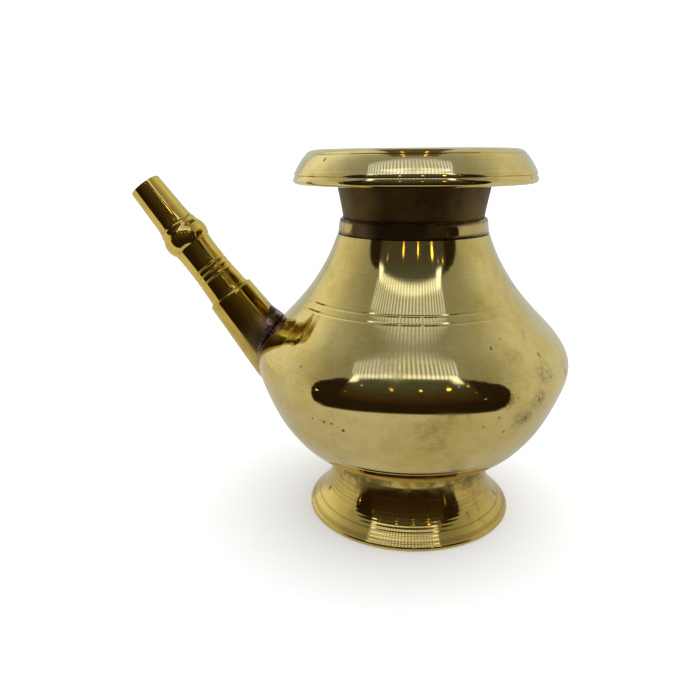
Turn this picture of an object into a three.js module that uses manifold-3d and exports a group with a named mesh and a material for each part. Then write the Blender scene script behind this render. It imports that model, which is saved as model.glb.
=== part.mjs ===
// A spouted brass water pitcher: a wide-bellied pot on a flared foot, with an
// overhanging mouth rim and a straight, rising spout. It is cast and turned in
// pieces that plug into each other and are brazed. Millimetres, +Z up.
import * as THREE from "three";
import { mergeVertices } from "three/addons/utils/BufferGeometryUtils.js";
import Module from "manifold-3d";

const wasm = await Module();
wasm.setup();

// How finely the round pieces are drawn.
const potSteps = 36;
const spoutSteps = 20;
const brazeSteps = 36;
const brazeRows = 4;
const halvings = 40;

// Clearances between pieces that plug into each other.
const socketGap = 0.2;
const seamGap = 0.3;

// The belly: two castings that meet at the widest place.
const bodyWall = 1.9;
const belly = { radius: 63.8, seam: 67, slopeBelow: -96 };
const haunch = { radius: 57.6, height: 80, slope: -49 };
const shoulderTop = { radius: 30.2, height: 118.6, slope: -67 };
const lowHaunch = { radius: 50.5, height: 37, slope: -126 };
const bellyBottom = { radius: 34, height: 24.5, slope: -150 };
const lap = { height: 2.4, wall: 0.85 };
const potFloor = { sag: 2.6, dish: 0.3, dishShare: 0.6 };
const wallBlend = 1;

// The shoulder band that sleeves the joint of neck and belly.
const collar = { height: 6.2, radiusTop: 29.1, radiusBottom: 29.9, bevel: 0.5 };

// The neck, which stands on a spigot of the belly, inside the collar.
const neckWall = 1.9;
const neckBottom = { radius: 27.95, slope: 80, spigotInset: 0.55, spigotDepth: 3.2 };
const neckTop = { radius: 32.6, slope: 70, socketDepth: 3 };
const neckLength = 21.2;

// The turned-over mouth rim: outwards from its throat, over its crown, down its
// face and round the rolled lip. Each size starts where the last one ends.
const rimWall = 2.1;
const throatRadius = 28;
const throatPlug = 1.6;
const rimFunnel = { flare: 5.6, slope: 12, pull: 0.45 };
const rimCrown = { width: 3.4, rise: 4.6, slope: -3 };
const rimShoulder = { reach: 6, drop: 2.5, slopeAbove: -70, slopeBelow: -47 };
const rimFace = { reach: 4, drop: 7, slope: -67 };
const rimLip = { tuck: 1.7, drop: 3.3, slope: -76, endSlope: -175, pull: 0.62, underside: 0.9 };

// The foot.
const footWall = 2;
const foot = { radius: 43.5, edge: 1.6, toe: 0.5, ledge: 0.55, slope: 137, pull: 0.45, sole: 1 };
const waist = { radius: 33, height: 22.3, slope: 92 };
const footTop = { radius: 33.4, slope: 74, seat: 3.4, seatDepth: 1.4 };

// The spout: where the mouth of its sleeve stands, and its angle over the floor.
const spout = { reach: 76.7, height: 92.9, angle: 53.5 };
const sleeve = { mouthRadius: 9.8, bevel: 0.6, heelRadius: 12, length: 34, wall: 1.5, socket: 8 };
const heel = { length: 10, radius: 6, slope: -87, endSlope: -160, pull: 0.42 };
const midTube = { rootRadius: 8.9, waistRadius: 7.9, topRadius: 8.2, length: 24.6, bore: 5.6 };
const midTubeFlare = { start: 0.4, slope: 96, waistBelowTop: 6 };
const knuckle = { radius: 9.5, bottomRadius: 8.5, topRadius: 7.8, length: 10.1, socket: 4.4 };
const knuckleCurve = { crownShare: 0.42, bottomSlope: 62, crownSlope: 92, topSlope: 112, web: 1.1 };
const tip = { rootRadius: 7.5, mouthRadius: 6.6, length: 20, bore: 5, bevel: 0.4, spigotWall: 0.9 };
const spigotWall = 1.3;
const flowHole = { radius: 6.5, from: -48, to: -8 };

// The engraved lines: a small V cut round the piece, at these heights.
const score = { width: 0.9, depth: 0.35 };
const shoulderScores = [94.5, 91.9];
const bellyScores = [37.6];
const tubeScores = [13.9, 11.5, 8.9];

// The braze fillet round the root of the spout: narrow below, and drawn up the
// sleeve above. Its legs are measured along the sleeve and along the pot.
const braze = { sleeveLeg: 1.6, upperSleeveLeg: 9.5, potLeg: 1.3, upperPotLeg: 2.6, hollow: 0.55 };

const brass = { color: 0xb5942f, roughness: 0.16, metalness: 1 };
const dullBrass = { color: 0x4d3a1a, roughness: 0.45, metalness: 1 };
const brazeMetal = { color: 0x4a3128, roughness: 0.5, metalness: 0.9 };

const radians = THREE.MathUtils.degToRad;
const at = (radius, height) => new THREE.Vector2(radius, height);
const heading = (degrees) => at(Math.cos(radians(degrees)), Math.sin(radians(degrees)));

// A smooth stretch of outline between two points, leaving and arriving along the
// given headings, which are degrees above the outward radius.
function sweep(start, startHeading, end, endHeading, steps, pull = 0.36) {
  const reach = start.distanceTo(end) * pull;
  const curve = new THREE.CubicBezierCurve(
    start,
    heading(startHeading).multiplyScalar(reach).add(start),
    heading(endHeading).multiplyScalar(-reach).add(end),
    end,
  );
  return curve.getSpacedPoints(steps);
}

// The outline moved sideways by a distance, to the left of its direction.
function offset(line, distance) {
  return line.map((point, i) => {
    const ahead = line[Math.min(i + 1, line.length - 1)];
    const behind = line[Math.max(i - 1, 0)];
    const along = ahead.clone().sub(behind).normalize();
    return at(point.x - along.y * distance, point.y + along.x * distance);
  });
}

// The outline with a V cut into its left side at a height.
function scored(line, height) {
  const i = line.findIndex((p, k) => k > 0 && (p.y - height) * (line[k - 1].y - height) <= 0);
  const [from, to] = [line[i - 1], line[i]];
  const share = (height - from.y) / (to.y - from.y);
  const middle = from.clone().lerp(to, share);
  const along = to.clone().sub(from).normalize();
  const cut = [
    middle.clone().addScaledVector(along, -score.width / 2),
    at(middle.x - along.y * score.depth, middle.y + along.x * score.depth),
    middle.clone().addScaledVector(along, score.width / 2),
  ];
  const clear = (point) => point.distanceTo(middle) > score.width * 0.75;
  return [...line.slice(0, i).filter(clear), ...cut, ...line.slice(i).filter(clear)];
}

// A closed outline turned about +Z. The outline runs up the outside.
function turned(outline, steps) {
  const closed = [...outline, outline[0].clone()];
  return new THREE.LatheGeometry(closed, steps).rotateX(Math.PI / 2);
}

// The same for an outline that starts and ends on the axis.
function turnedSolid(outline, steps) {
  return new THREE.LatheGeometry(outline, steps).rotateX(Math.PI / 2);
}

function solidOf(geometry) {
  const bare = geometry.clone().deleteAttribute("normal").deleteAttribute("uv");
  const merged = mergeVertices(bare, 1e-4);
  return new wasm.Manifold(
    new wasm.Mesh({
      numProp: 3,
      vertProperties: merged.attributes.position.array,
      triVerts: new Uint32Array(merged.index.array),
    }),
  );
}

function geometryOf(solid) {
  const mesh = solid.getMesh();
  const geometry = new THREE.BufferGeometry();
  geometry.setAttribute("position", new THREE.BufferAttribute(mesh.vertProperties, 3));
  geometry.setIndex(new THREE.BufferAttribute(mesh.triVerts, 1));
  geometry.computeVertexNormals();
  return geometry;
}

function piece(name, geometry, finish) {
  const mesh = new THREE.Mesh(geometry, new THREE.MeshStandardMaterial(finish));
  mesh.name = name;
  return mesh;
}

// Outlines that more than one piece shares. All of them run downwards.
const shoulderLine = [
  ...sweep(
    at(shoulderTop.radius, shoulderTop.height), shoulderTop.slope,
    at(haunch.radius, haunch.height), haunch.slope, 8,
  ),
  ...sweep(
    at(haunch.radius, haunch.height), haunch.slope,
    at(belly.radius, belly.seam), -90, 4,
  ).slice(1),
];
const bellyLine = [
  ...sweep(
    at(belly.radius, belly.seam), belly.slopeBelow,
    at(lowHaunch.radius, lowHaunch.height), lowHaunch.slope, 6,
  ),
  ...sweep(
    at(lowHaunch.radius, lowHaunch.height), lowHaunch.slope,
    at(bellyBottom.radius, bellyBottom.height), bellyBottom.slope, 5,
  ).slice(1),
];
const potLine = [...shoulderLine, ...bellyLine.slice(1)];

// The outer radius of the pot at a height.
function potRadius(height) {
  const i = potLine.findIndex((p, k) => k > 0 && p.y <= height);
  if (i < 0) return height > shoulderTop.height ? shoulderTop.radius : bellyBottom.radius;
  const [above, under] = [potLine[i - 1], potLine[i]];
  return THREE.MathUtils.mapLinear(height, above.y, under.y, above.x, under.x);
}

// The spout's own frame: +Z out along its axis, with 0 at the sleeve's mouth.
const spoutFrame = new THREE.Matrix4()
  .makeRotationY(radians(spout.angle - 90))
  .setPosition(-spout.reach, 0, spout.height);

function flowHoleSolid() {
  const length = flowHole.to - flowHole.from;
  const bore = new THREE.CylinderGeometry(flowHole.radius, flowHole.radius, length, spoutSteps);
  bore.rotateX(Math.PI / 2).translate(0, 0, flowHole.from + length / 2);
  return solidOf(bore.applyMatrix4(spoutFrame));
}

// Heights and radii that follow from the sizes above.
const collarTop = shoulderTop.height + collar.height;
const neckTopHeight = collarTop + neckLength;
const spigotOuter = neckBottom.radius - neckBottom.spigotInset;
const spigotInner = spigotOuter - neckWall;
const spigotTop = collarTop - neckBottom.spigotDepth;
const lapTop = belly.seam + lap.height;

// The upper belly casting, with a spigot for the collar and a lap for the seam.
function upperBody() {
  const outside = shoulderScores.reduce(scored, shoulderLine);
  const inside = offset(shoulderLine, -bodyWall);
  const lapRadius = belly.radius - bodyWall + lap.wall + socketGap;
  const insideTop = shoulderTop.height - wallBlend;
  const insideAbove = inside.filter((p) => p.y > lapTop + wallBlend && p.y < insideTop);
  const outline = [
    ...outside.slice().reverse(),
    at(spigotOuter, shoulderTop.height),
    at(spigotOuter, spigotTop),
    at(spigotInner, spigotTop),
    at(spigotInner, insideTop),
    ...insideAbove,
    at(belly.radius - bodyWall - socketGap, lapTop),
    at(lapRadius, lapTop),
    at(lapRadius, belly.seam),
  ];
  return geometryOf(solidOf(turned(outline, potSteps)).subtract(flowHoleSolid()));
}

// The lower belly casting: a bowl with a flat seat for the foot underneath.
function lowerBody() {
  const outside = bellyScores.reduce(scored, bellyLine);
  const inside = offset(bellyLine, -bodyWall);
  const lapInner = belly.radius - bodyWall;
  const seatInner = footTop.radius - footTop.seat - seamGap;
  const floorRadius = inside[inside.length - 1].x;
  const underside = bellyBottom.height - potFloor.sag;
  const outline = [
    at(0, underside),
    at(seatInner * potFloor.dishShare, underside + potFloor.dish),
    at(seatInner, bellyBottom.height - wallBlend),
    at(seatInner, bellyBottom.height),
    ...outside.slice().reverse(),
    at(lapInner + lap.wall, belly.seam),
    at(lapInner + lap.wall, lapTop),
    at(lapInner, lapTop),
    ...inside.slice(0, -1),
    at(floorRadius * potFloor.dishShare, underside + bodyWall + potFloor.dish * 2),
    at(0, underside + bodyWall),
  ];
  return geometryOf(solidOf(turnedSolid(outline, potSteps)).subtract(flowHoleSolid()));
}

function shoulderCollar() {
  const bore = spigotOuter + socketGap;
  return turned([
    at(bore, shoulderTop.height),
    at(collar.radiusBottom, shoulderTop.height),
    at(collar.radiusTop, collarTop - collar.bevel),
    at(collar.radiusTop - collar.bevel, collarTop),
    at(bore, collarTop),
  ], potSteps);
}

// The neck stands on the spigot of the belly inside the collar, and takes the
// throat of the rim in a socket at its top.
const socketFloor = neckTopHeight - neckTop.socketDepth;
const socketRadius = throatRadius + throatPlug;

function neck() {
  const outside = sweep(
    at(neckBottom.radius, collarTop), neckBottom.slope,
    at(neckTop.radius, neckTopHeight), neckTop.slope, 6,
  );
  const inside = offset(outside, neckWall).filter((p) => p.y > collarTop && p.y < socketFloor - neckWall);
  return turned([
    at(spigotInner, spigotTop),
    at(spigotOuter, spigotTop),
    at(spigotOuter, collarTop),
    ...outside,
    at(socketRadius + socketGap, neckTopHeight),
    at(socketRadius + socketGap, socketFloor),
    at(throatRadius, socketFloor),
    ...inside.reverse(),
    at(spigotInner, collarTop),
  ], potSteps);
}

function mouthRim() {
  const crownInner = at(throatRadius + rimFunnel.flare, neckTopHeight + rimCrown.rise);
  const crownOuter = at(crownInner.x + rimCrown.width, crownInner.y);
  const shoulder = at(crownOuter.x + rimShoulder.reach, crownOuter.y - rimShoulder.drop);
  const faceEnd = at(shoulder.x + rimFace.reach, shoulder.y - rimFace.drop);
  const lipEnd = at(faceEnd.x - rimLip.tuck, faceEnd.y - rimLip.drop);
  const crown = sweep(crownOuter, rimCrown.slope, shoulder, rimShoulder.slopeAbove, 4);
  const face = sweep(shoulder, rimShoulder.slopeBelow, faceEnd, rimFace.slope, 4);
  const lip = sweep(faceEnd, rimLip.slope, lipEnd, rimLip.endSlope, 5, rimLip.pull);
  const funnel = sweep(at(throatRadius, socketFloor), 90, crownInner, rimFunnel.slope, 5, rimFunnel.pull);
  const outside = [shoulder.y, faceEnd.y].reduce(scored, [...crown, ...face.slice(1), ...lip.slice(1)]);
  const underCrown = offset(crown, -rimWall);
  return turned([
    ...funnel.reverse(),
    at(socketRadius, socketFloor),
    at(socketRadius, neckTopHeight),
    at(neckTop.radius + rimWall / 2, neckTopHeight),
    underCrown[0],
    ...underCrown.slice(2, -1),
    ...offset(face, -rimWall).slice(1),
    at(lipEnd.x - rimLip.underside, lipEnd.y + rimLip.underside),
    ...outside.slice().reverse(),
  ], potSteps);
}

// A flared ring: a flat toe to stand on, and a flat seat under the belly.
function footRing() {
  const outside = [
    ...sweep(
      at(foot.radius - foot.ledge, foot.edge + foot.toe), foot.slope,
      at(waist.radius, waist.height), waist.slope, 8, foot.pull,
    ),
    ...sweep(
      at(waist.radius, waist.height), waist.slope,
      at(footTop.radius, bellyBottom.height), footTop.slope, 2,
    ).slice(1),
  ];
  const seatFloor = bellyBottom.height - footTop.seatDepth;
  const inside = offset(outside, footWall).filter((p) => p.y > foot.edge + foot.sole && p.y < seatFloor);
  return turned([
    at(foot.radius - footWall - foot.sole, 0),
    at(foot.radius - foot.toe, 0),
    at(foot.radius, foot.toe),
    at(foot.radius, foot.edge - foot.toe),
    ...outside,
    at(footTop.radius - footTop.seat, bellyBottom.height),
    at(footTop.radius - footTop.seat, seatFloor),
    ...inside.reverse(),
  ], potSteps);
}

// The spout's sleeve outline, from its mouth down to its heel.
const sleeveMouth = [at(sleeve.mouthRadius - sleeve.bevel, 0), at(sleeve.mouthRadius, -sleeve.bevel)];
const heelStart = at(sleeve.heelRadius, -sleeve.length);
const heelEnd = at(heel.radius, -sleeve.length - heel.length);
const heelSide = sweep(heelStart, heel.slope, heelEnd, heel.endSlope, 5, heel.pull);
const sleeveLine = [...sleeveMouth, ...heelSide];

function sleeveRadius(along) {
  const i = sleeveLine.findIndex((p, k) => k > 0 && p.y <= along);
  const [above, under] = [sleeveLine[i - 1], sleeveLine[i]];
  return THREE.MathUtils.mapLinear(along, above.y, under.y, above.x, under.x);
}

// The pot's outside as one solid, a little fatter, to trim the sleeve by.
function potEnvelope() {
  const fatter = offset(potLine, seamGap).reverse();
  return turnedSolid(
    [at(0, fatter[0].y), ...fatter, at(0, fatter[fatter.length - 1].y)],
    potSteps,
  );
}

function spoutSleeve() {
  const socket = midTube.rootRadius + socketGap;
  const ledge = midTube.rootRadius - spigotWall;
  const inside = offset(heelSide, -sleeve.wall).filter((p) => p.y > heelEnd.y);
  const sleeveBody = turned([
    ...sleeveLine.slice().reverse(),
    at(socket, 0),
    at(socket, -sleeve.socket),
    at(ledge, -sleeve.socket),
    ...inside,
    at(heel.radius - sleeve.wall, heelEnd.y),
  ], spoutSteps).applyMatrix4(spoutFrame);
  return geometryOf(solidOf(sleeveBody).subtract(solidOf(potEnvelope())));
}

// The fillet of braze that follows the seam between the sleeve and the pot.
function brazeFillet() {
  const ring = [];
  const overPot = seamGap * 1.8;
  const overSeam = seamGap * 1.6;
  const onSleeve = (along, turn, gap) => {
    const radius = sleeveRadius(along) + gap;
    const point = new THREE.Vector3(radius * Math.cos(turn), radius * Math.sin(turn), along);
    return point.applyMatrix4(spoutFrame);
  };
  const onPot = (point, gap) => {
    const radius = potRadius(point.z) + gap;
    const share = radius / Math.hypot(point.x, point.y);
    return new THREE.Vector3(point.x * share, point.y * share, point.z);
  };
  for (let k = 0; k < brazeSteps; k++) {
    const turn = (k / brazeSteps) * 2 * Math.PI;
    let [outer, inner] = [-sleeve.socket, heelEnd.y + socketGap];
    for (let n = 0; n < halvings; n++) {
      const middle = (outer + inner) / 2;
      const point = onSleeve(middle, turn, 0);
      if (Math.hypot(point.x, point.y) > potRadius(point.z)) outer = middle;
      else inner = middle;
    }
    const upward = Math.max(0, Math.cos(turn)) ** 2;
    const sleeveLeg = THREE.MathUtils.lerp(braze.sleeveLeg, braze.upperSleeveLeg, upward);
    const potLeg = THREE.MathUtils.lerp(braze.potLeg, braze.upperPotLeg, upward);
    const corner = onPot(onSleeve(outer + overSeam, turn, seamGap), overPot);
    const high = onSleeve(outer + overSeam + sleeveLeg, turn, seamGap);
    const low = onPot(onSleeve(outer, turn, potLeg), overPot);
    const hollow = high.clone().add(low).multiplyScalar(0.5).lerp(corner, braze.hollow);
    const bow = new THREE.QuadraticBezierCurve3(high, hollow, low);
    ring.push([corner, ...bow.getPoints(brazeRows)]);
  }
  const across = ring[0].length;
  const positions = ring.flat().flatMap((p) => [p.x, p.y, p.z]);
  const faces = [];
  for (let k = 0; k < brazeSteps; k++) {
    for (let j = 0; j < across; j++) {
      const here = k * across + j;
      const side = k * across + ((j + 1) % across);
      const next = ((k + 1) % brazeSteps) * across + j;
      const far = ((k + 1) % brazeSteps) * across + ((j + 1) % across);
      faces.push(here, side, next, side, far, next);
    }
  }
  const geometry = new THREE.BufferGeometry();
  geometry.setAttribute("position", new THREE.Float32BufferAttribute(positions, 3));
  geometry.setIndex(faces);
  geometry.computeVertexNormals();
  return geometry;
}

// The three upper pieces of the spout, in its own frame.
const tubeSpigotRadius = midTube.topRadius - spigotWall;
const knuckleBase = midTube.length + seamGap;
const knuckleTop = knuckleBase + knuckle.length;
const tipBase = knuckleTop + seamGap;
const tipSpigotRadius = tip.rootRadius - tip.spigotWall;
const web = { bottom: knuckleBase + knuckle.socket, top: knuckleBase + knuckle.socket + knuckleCurve.web };

function spoutTube() {
  const root = at(midTube.rootRadius, midTubeFlare.start);
  const waistEnd = at(midTube.waistRadius, midTube.length - midTubeFlare.waistBelowTop);
  const side = [
    ...sweep(root, midTubeFlare.slope, waistEnd, 90, 3),
    at(midTube.topRadius, midTube.length),
  ];
  const outside = tubeScores.reduceRight(scoredUp, side);
  return turned([
    at(midTube.rootRadius - spigotWall + seamGap, seamGap - sleeve.socket),
    at(midTube.rootRadius, seamGap - sleeve.socket),
    ...outside,
    at(tubeSpigotRadius, midTube.length),
    at(tubeSpigotRadius, web.bottom - seamGap),
    at(midTube.bore, web.bottom - seamGap),
    at(midTube.bore, waistEnd.y),
  ], spoutSteps);
}

// The V cut for an outline that runs up its piece.
function scoredUp(line, height) {
  return scored(line.slice().reverse(), height).reverse();
}

function spoutKnuckle() {
  const bottom = at(knuckle.bottomRadius, knuckleBase);
  const crown = at(knuckle.radius, knuckleBase + knuckle.length * knuckleCurve.crownShare);
  const outside = [
    ...sweep(bottom, knuckleCurve.bottomSlope, crown, knuckleCurve.crownSlope, 3),
    ...sweep(
      crown, knuckleCurve.crownSlope,
      at(knuckle.topRadius, knuckleTop), knuckleCurve.topSlope, 4,
    ).slice(1),
  ];
  return turned([
    ...outside,
    at(tipSpigotRadius + socketGap, knuckleTop),
    at(tipSpigotRadius + socketGap, web.top),
    at(midTube.bore, web.top),
    at(midTube.bore, web.bottom),
    at(tubeSpigotRadius + socketGap, web.bottom),
    at(tubeSpigotRadius + socketGap, knuckleBase),
  ], spoutSteps);
}

function spoutTip() {
  const bottom = web.top + seamGap;
  const end = tipBase + tip.length;
  return turned([
    at(tip.bore, bottom),
    at(tipSpigotRadius, bottom),
    at(tipSpigotRadius, tipBase),
    at(tip.rootRadius, tipBase),
    at(tip.mouthRadius, end - tip.bevel),
    at(tip.mouthRadius - tip.bevel, end),
    at(tip.bore, end),
  ], spoutSteps);
}

function buildPitcher() {
  const pitcher = new THREE.Group();
  pitcher.add(
    piece("foot", footRing(), brass),
    piece("lower_body", lowerBody(), brass),
    piece("upper_body", upperBody(), brass),
    piece("shoulder_collar", shoulderCollar(), brass),
    piece("neck", neck(), dullBrass),
    piece("mouth_rim", mouthRim(), brass),
    piece("spout_sleeve", spoutSleeve(), brass),
    piece("spout_braze", brazeFillet(), brazeMetal),
  );
  const upperSpout = new THREE.Group();
  upperSpout.add(
    piece("spout_tube", spoutTube(), brass),
    piece("spout_knuckle", spoutKnuckle(), brass),
    piece("spout_tip", spoutTip(), brass),
  );
  upperSpout.applyMatrix4(spoutFrame);
  pitcher.add(upperSpout);

  // The origin is on the floor, under the middle of the whole outline.
  pitcher.updateMatrixWorld(true);
  const box = new THREE.Box3().setFromObject(pitcher, true);
  pitcher.position.x = -(box.min.x + box.max.x) / 2;
  return pitcher;
}

export default buildPitcher();
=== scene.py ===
import math

import bpy
import numpy as np
from mathutils import Matrix, Vector


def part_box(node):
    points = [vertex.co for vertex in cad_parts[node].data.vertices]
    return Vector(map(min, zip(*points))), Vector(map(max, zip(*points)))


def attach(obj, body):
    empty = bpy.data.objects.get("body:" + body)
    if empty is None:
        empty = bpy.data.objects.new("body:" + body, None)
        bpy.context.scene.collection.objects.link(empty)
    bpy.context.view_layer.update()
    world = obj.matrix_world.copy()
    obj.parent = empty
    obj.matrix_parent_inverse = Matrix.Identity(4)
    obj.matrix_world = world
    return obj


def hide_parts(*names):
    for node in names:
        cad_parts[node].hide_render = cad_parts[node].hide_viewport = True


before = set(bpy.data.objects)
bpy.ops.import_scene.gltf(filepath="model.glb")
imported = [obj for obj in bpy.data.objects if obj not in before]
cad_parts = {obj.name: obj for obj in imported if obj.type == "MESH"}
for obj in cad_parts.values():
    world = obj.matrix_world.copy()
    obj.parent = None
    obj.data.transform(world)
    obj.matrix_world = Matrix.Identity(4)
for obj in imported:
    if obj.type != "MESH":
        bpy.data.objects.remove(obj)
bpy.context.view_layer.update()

mm = 0.001
rimLow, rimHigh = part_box("mouth_rim")
potX = (rimLow[0] + rimHigh[0]) / 2  # the pot's own axis
potPlace = Matrix.Translation((potX, 0, 0))
roundSteps = 192
sharpAngle = math.radians(32)
print("frame loaded")


# Drawing an outline and turning it

groove = {"floorWidth": 0.2, "lipHeight": 0.12, "lipPlace": 0.42, "lipWidth": 0.08, "points": 11}


def deselectAll():
    if bpy.context.mode != "OBJECT":
        bpy.ops.object.mode_set(mode="OBJECT")
    bpy.ops.object.select_all(action="DESELECT")


def pick(piece):
    deselectAll()
    piece.select_set(True)
    bpy.context.view_layer.objects.active = piece


def fairLine(knots, spacing=0.9):
    # a smooth line through the knots, with its points about evenly spaced
    knots = np.array(knots, float)
    lengths = np.hypot(*np.diff(knots, axis=0).T)
    count = len(knots)
    system, sides = np.eye(count), np.zeros((count, 2))
    for i in range(1, count - 1):
        a, b = lengths[i - 1], lengths[i]
        system[i, i - 1:i + 2] = a, 2 * (a + b), b
        sides[i] = 6 * ((knots[i + 1] - knots[i]) / b - (knots[i] - knots[i - 1]) / a)
    system[0, 1] = system[-1, -2] = -1  # the ends keep their curvature
    bend = np.linalg.solve(system, sides)
    line = []
    for i in range(count - 1):
        h = lengths[i]
        parts = max(1, round(h / spacing))
        for k in range(parts):
            b = k / parts
            a = 1 - b
            point = a * knots[i] + b * knots[i + 1]
            point = point + ((a**3 - a) * bend[i] + (b**3 - b) * bend[i + 1]) * h * h / 6
            line.append(tuple(point))
    line.append(tuple(knots[-1]))
    return line


def lineNormals(line):
    # the outward side of a line that runs up the outside
    line = np.array(line, float)
    along = np.gradient(line, axis=0)
    along /= np.linalg.norm(along, axis=1)[:, None]
    return np.stack([along[:, 1], -along[:, 0]], axis=1)


def insetLine(line, wall):
    return [tuple(p) for p in np.array(line) - lineNormals(line) * wall]


def splitLine(line, height):
    # the line below and above a height, sharing the point there
    i = next(k for k, p in enumerate(line) if p[1] > height)
    (r0, z0), (r1, z1) = line[i - 1], line[i]
    middle = (r0 + (r1 - r0) * (height - z0) / (z1 - z0), height)
    return line[:i] + [middle], [middle] + line[i:]


def withGroove(line, height, width, depth):
    # a round-bottomed cut with raised lips, across a line that runs up the outside
    line = np.array(line, float)
    t = np.concatenate([[0], np.cumsum(np.hypot(*np.diff(line, axis=0).T))])
    crossings = (line[1:, 1] - height) * (line[:-1, 1] - height) <= 0
    i = int(np.argmax(crossings)) + 1
    share = (height - line[i - 1, 1]) / (line[i, 1] - line[i - 1, 1])
    middle = t[i - 1] + share * (t[i] - t[i - 1])
    along = (line[i] - line[i - 1]) / np.linalg.norm(line[i] - line[i - 1])
    inward = np.array([-along[1], along[0]])
    cut = []
    for s in np.linspace(-0.5, 0.5, groove["points"]):
        place = middle + s * width
        point = np.array([np.interp(place, t, line[:, 0]), np.interp(place, t, line[:, 1])])
        floor = math.exp(-(s / groove["floorWidth"])**2)
        lip = groove["lipHeight"] * math.exp(-((abs(s) - groove["lipPlace"]) / groove["lipWidth"])**2)
        cut.append(tuple(point + inward * depth * (floor - lip)))
    low = [tuple(p) for p, place in zip(line, t) if place < middle - width * 0.55]
    high = [tuple(p) for p, place in zip(line, t) if place > middle + width * 0.55]
    return low + cut + high


def drawOutline(name, outline):
    # one point, extruded along the outline as by hand
    deselectAll()
    bpy.ops.mesh.primitive_plane_add(size=1 * mm)
    piece = bpy.context.object
    piece.name = name
    bpy.ops.object.mode_set(mode="EDIT")
    bpy.ops.mesh.select_mode(type="VERT")
    bpy.ops.mesh.select_all(action="SELECT")
    bpy.ops.mesh.merge(type="CENTER")
    bpy.ops.transform.translate(value=(outline[0][0] * mm, 0, outline[0][1] * mm))
    for (r0, z0), (r1, z1) in zip(outline, outline[1:]):
        move = {"value": ((r1 - r0) * mm, 0, (z1 - z0) * mm)}
        bpy.ops.mesh.extrude_region_move(TRANSFORM_OT_translate=move)
    return piece


def sortFaces(piece):
    # merging leaves the faces in a different order each run, so they are put in one order
    points = [tuple(vertex.co) for vertex in piece.data.vertices]
    faces = sorted(tuple(face.vertices) for face in piece.data.polygons)
    piece.data.clear_geometry()
    piece.data.from_pydata(points, [], faces)


def turnPiece(name, outline, place=potPlace, steps=roundSteps, closed=True):
    # the outline spun about the z axis; it runs up the outside and down the inside
    piece = drawOutline(name, outline + outline[:1] if closed else outline)
    bpy.ops.mesh.select_all(action="SELECT")
    bpy.ops.mesh.remove_doubles(threshold=0.002 * mm)
    bpy.ops.mesh.select_all(action="SELECT")
    bpy.ops.mesh.spin(steps=steps, angle=2 * math.pi, center=(0, 0, 0), axis=(0, 0, 1))
    bpy.ops.mesh.select_all(action="SELECT")
    bpy.ops.mesh.remove_doubles(threshold=0.002 * mm)
    bpy.ops.mesh.normals_make_consistent(inside=False)
    bpy.ops.object.mode_set(mode="OBJECT")
    sortFaces(piece)
    bpy.ops.object.shade_smooth_by_angle(angle=sharpAngle)
    piece.data.transform(place)
    return piece


def applyModifier(piece, name, kind, **settings):
    pick(piece)
    modifier = piece.modifiers.new(name, kind)
    for key, value in settings.items():
        setattr(modifier, key, value)
    bpy.ops.object.modifier_apply(modifier=name)


def finishPiece(piece, node, material):
    piece.data.materials.clear()
    piece.data.materials.append(material)
    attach(piece, "root")
    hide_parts(node)


# Nodes for the materials

def newGroup(name, inputs, outputs):
    group = bpy.data.node_groups.new(name, "ShaderNodeTree")
    for label, kind, value in inputs:
        socket = group.interface.new_socket(label, in_out="INPUT", socket_type=kind)
        if value is not None:
            socket.default_value = value
    for label in outputs:
        group.interface.new_socket(label, in_out="OUTPUT", socket_type="NodeSocketFloat")
    return group, group.nodes.new("NodeGroupInput").outputs, group.nodes.new("NodeGroupOutput").inputs


def plug(tree, socket, value):
    # a socket to link from, or a plain number or colour
    if isinstance(value, bpy.types.NodeSocket):
        tree.links.new(value, socket)
    else:
        socket.default_value = value


def add(tree, kind, settings=None, **values):
    node = tree.nodes.new(kind)
    for key, value in (settings or {}).items():
        setattr(node, key, value)
    for key, value in values.items():
        numbered = key[0] == "i" and key[1:].isdigit()
        plug(tree, node.inputs[int(key[1:]) if numbered else key.replace("_", " ")], value)
    return node


def calc(tree, operation, a, b=0.0, c=0.0):
    return add(tree, "ShaderNodeMath", {"operation": operation}, i0=a, i1=b, i2=c).outputs[0]


def times(tree, first, *others):
    for other in others:
        first = calc(tree, "MULTIPLY", first, other)
    return first


def ramp(tree, value, low, high, toLow=0.0, toHigh=1.0):
    settings = {"interpolation_type": "SMOOTHSTEP"}
    node = add(tree, "ShaderNodeMapRange", settings, i0=value, i1=low, i2=high, i3=toLow, i4=toHigh)
    return node.outputs[0]


def bump(tree, value, middle, halfWidth):
    # one at the middle, falling smoothly to nothing at the half width
    away = calc(tree, "ABSOLUTE", calc(tree, "SUBTRACT", value, middle))
    return ramp(tree, away, 0.0, halfWidth, 1.0, 0.0)


def mixColour(tree, factor, a, b, blend="MIX"):
    node = add(tree, "ShaderNodeMix", {"data_type": "RGBA", "blend_type": blend}, i0=factor, i6=a, i7=b)
    return node.outputs[2]


def grey(tree, value):
    return add(tree, "ShaderNodeCombineColor", None, Red=value, Green=value, Blue=value).outputs[0]


def noise(tree, vector, scale, detail=2.0, rough=0.5):
    return add(tree, "ShaderNodeTexNoise", None, Vector=vector, Scale=scale, Detail=detail,
               Roughness=rough).outputs[0]


def ragged(tree, vector, scale, width, detail=4.0, rough=0.65):
    # a shift either way, to break up an edge
    return times(tree, calc(tree, "SUBTRACT", noise(tree, vector, scale, detail, rough), 0.5), width)


def vectorMath(tree, operation, a, b=(0, 0, 0)):
    return add(tree, "ShaderNodeVectorMath", {"operation": operation}, i0=a, i1=b).outputs[0]


def distance(tree, a, b=(0, 0, 0)):
    return add(tree, "ShaderNodeVectorMath", {"operation": "DISTANCE"}, i0=a, i1=b).outputs["Value"]


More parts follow.
